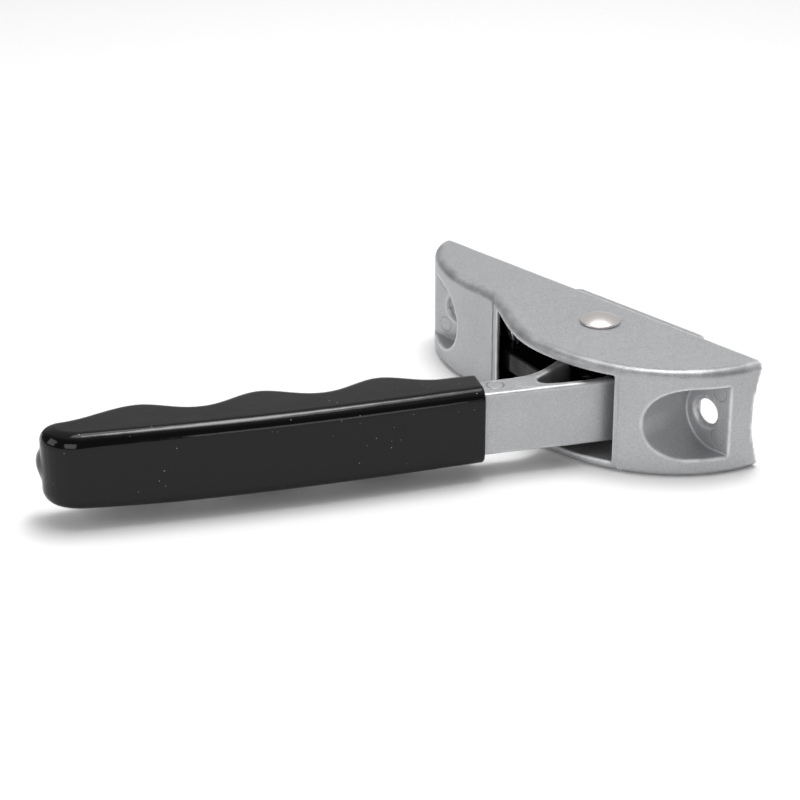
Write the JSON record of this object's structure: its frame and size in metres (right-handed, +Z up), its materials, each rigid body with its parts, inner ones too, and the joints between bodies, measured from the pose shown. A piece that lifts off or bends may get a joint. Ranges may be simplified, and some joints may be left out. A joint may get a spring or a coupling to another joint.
{
  "type": "sprung hand lever on a bracket",
  "caption": "Silver die-cast bracket with a saddle back and screw pockets, carrying a sprung hand lever in a black dipped finger grip.",
  "frame": {"origin": "on the pivot's X, on the saddle's edge plane, at the bracket's mid-height", "axes": "+X along the bracket towards its short end, +Y into the post behind, +Z up towards the rivet's head"},
  "size_m": [0.1035, 0.1442, 0.0278],
  "materials": {
    "silver_paint": "fine metallic silver paint",
    "black_dip": "glossy dipped vinyl with a light orange peel",
    "nickel": "polished nickel plate",
    "bright_steel": "plain steel",
    "dark_steel": "oiled dark steel",
    "bronze": "oiled sintered bronze"
  },
  "bodies": {
    "bracket": {"bracket_casting": "silver_paint", "pivot_rivet": "nickel", "rivet_washer": "bright_steel", "upper_thrust_washer": "dark_steel", "lower_thrust_washer": "dark_steel", "return_spring": "dark_steel"},
    "lever": {"lever_casting": "silver_paint", "grip_sleeve": "black_dip", "pivot_bush": "bronze", "pawl_tongue": "dark_steel", "pawl_pins": "bright_steel"}
  },
  "joints": [
    {"name": "lever_swing", "type": "hinge", "parent": "bracket", "child": "lever", "pos_m": [0, -0.0103, 0], "axis": [0, 0, -1], "range_deg": [0, 11], "stiffness_Nm_per_rad": 2.4, "springref_deg": -6.88, "deforming": ["return_spring"]}
  ]
}
